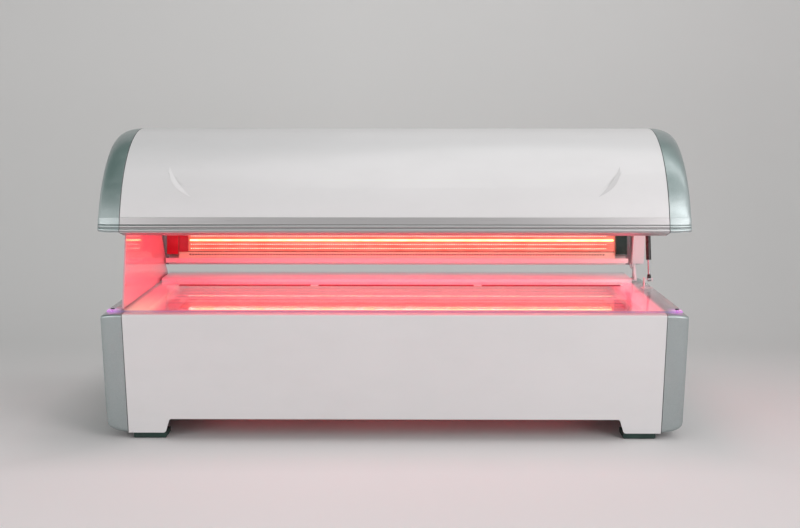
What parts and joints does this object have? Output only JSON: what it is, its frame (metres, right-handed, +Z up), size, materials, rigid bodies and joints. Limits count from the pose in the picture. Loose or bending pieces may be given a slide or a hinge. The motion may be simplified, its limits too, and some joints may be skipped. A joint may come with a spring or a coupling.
{
  "type": "light therapy bed",
  "caption": "Clamshell light therapy bed: a hinged barrel canopy on gas springs over a flat acrylic bench, both lined with red light boards, on a white base with silver moulded ends.",
  "frame": {"origin": "on the floor under the middle of the base", "axes": "+X along the bed towards its right end as seen from the front, -Y towards the open front, +Z up"},
  "size_m": [2.22, 1.016, 1.1798],
  "materials": {
    "white_panel": "satin",
    "white_metal": "satin",
    "silver_moulding": "satin",
    "satin_aluminium": "satin",
    "polished_aluminium": "polished",
    "plain_aluminium": "satin",
    "bright_steel": "polished",
    "black_metal": "satin",
    "black_plastic": "matte",
    "foot_rubber": "matte",
    "light_board": "satin",
    "clear_acrylic": "polished"
  },
  "bodies": {
    "base": {"foot_front_left": "foot_rubber", "foot_front_right": "foot_rubber", "foot_rear_left": "foot_rubber", "foot_rear_right": "foot_rubber", "base_frame": "plain_aluminium", "base_floor_pan": "plain_aluminium", "base_front_panel": "white_panel", "base_rear_panel": "white_panel", "base_end_cap_left": "silver_moulding", "base_end_cap_right": "silver_moulding", "deck_surround": "white_panel", "bench_reflector": "polished_aluminium", "bench_led_panel_1": "light_board", "bench_led_panel_2": "light_board", "bench_led_panel_3": "light_board", "bench_led_panel_4": "light_board", "bench_end_cover_left": "white_panel", "bench_end_cover_right": "white_panel", "bench_acrylic": "clear_acrylic", "sheet_screw_front_left": "black_metal", "sheet_screw_front_right": "black_metal", "sheet_screw_rear_left": "black_metal", "sheet_screw_rear_right": "black_metal", "rear_ledge": "white_panel", "end_shield": "white_panel", "hinge_bracket_left": "white_metal", "hinge_bracket_right": "white_metal", "spring_mount_left": "white_metal", "spring_mount_right": "white_metal", "led_driver_left": "plain_aluminium", "led_driver_right": "plain_aluminium", "fan_housing_left": "black_plastic", "fan_housing_right": "black_plastic", "mains_inlet": "black_plastic", "switch_bezel": "black_plastic"},
    "canopy": {"canopy_shell": "white_panel", "canopy_front_trim": "satin_aluminium", "canopy_rear_rail": "satin_aluminium", "canopy_end_cap_left": "silver_moulding", "canopy_end_cap_right": "silver_moulding", "canopy_end_rib_left": "polished_aluminium", "canopy_end_rib_right": "polished_aluminium", "canopy_reflector": "polished_aluminium", "canopy_acrylic": "clear_acrylic", "canopy_led_panel_1": "light_board", "canopy_led_panel_2": "light_board", "canopy_led_panel_3": "light_board", "canopy_led_panel_4": "light_board", "canopy_led_panel_5": "light_board", "canopy_side_plate_left": "white_metal", "canopy_side_plate_right": "white_metal"},
    "rod_left": {"spring_rod_left": "bright_steel"},
    "rod_right": {"spring_rod_right": "bright_steel"},
    "tube_left": {"spring_tube_left": "black_metal"},
    "tube_right": {"spring_tube_right": "black_metal"},
    "fan_left": {"fan_rotor_left": "black_plastic"},
    "fan_right": {"fan_rotor_right": "black_plastic"},
    "rocker": {"switch_rocker": "black_plastic"}
  },
  "joints": [
    {"name": "canopy_hinge", "type": "hinge", "parent": "base", "child": "canopy", "pos_m": [0, 0.42, 0.56], "axis": [-1, 0, 0], "range_deg": [-14, 22]},
    {"name": "rod_swing_left", "type": "hinge", "parent": "base", "child": "rod_left", "pos_m": [-1.08, 0.15, 0.535], "axis": [-1, 0, 0], "range_deg": [-9.8, 15.4]},
    {"name": "rod_swing_right", "type": "hinge", "parent": "base", "child": "rod_right", "pos_m": [1.08, 0.15, 0.535], "axis": [-1, 0, 0], "range_deg": [-9.8, 15.4]},
    {"name": "tube_slide_left", "type": "slide", "parent": "rod_left", "child": "tube_left", "axis": [0, 0.2669, 0.9637], "range_m": [-0.0612, 0.096]},
    {"name": "tube_slide_right", "type": "slide", "parent": "rod_right", "child": "tube_right", "axis": [0, 0.2669, 0.9637], "range_m": [-0.0612, 0.096]},
    {"name": "fan_spin_left", "type": "hinge", "parent": "base", "child": "fan_left", "pos_m": [-0.45, 0.4842, 0.29], "axis": [0, 1, 0], "continuous": true},
    {"name": "fan_spin_right", "type": "hinge", "parent": "base", "child": "fan_right", "pos_m": [0.45, 0.4842, 0.29], "axis": [0, 1, 0], "continuous": true},
    {"name": "switch_rock", "type": "hinge", "parent": "base", "child": "rocker", "pos_m": [-0.715, 0.5013, 0.19], "axis": [1, 0, 0], "range_deg": [-8, 8]}
  ],
  "couplings": [
    {"joint": "rod_swing_left", "follows": "canopy_hinge", "ratio": 0.6926},
    {"joint": "rod_swing_right", "follows": "canopy_hinge", "ratio": 0.6926},
    {"joint": "tube_slide_left", "follows": "canopy_hinge", "m_per_rad": 0.2486},
    {"joint": "tube_slide_right", "follows": "canopy_hinge", "m_per_rad": 0.2486}
  ]
}
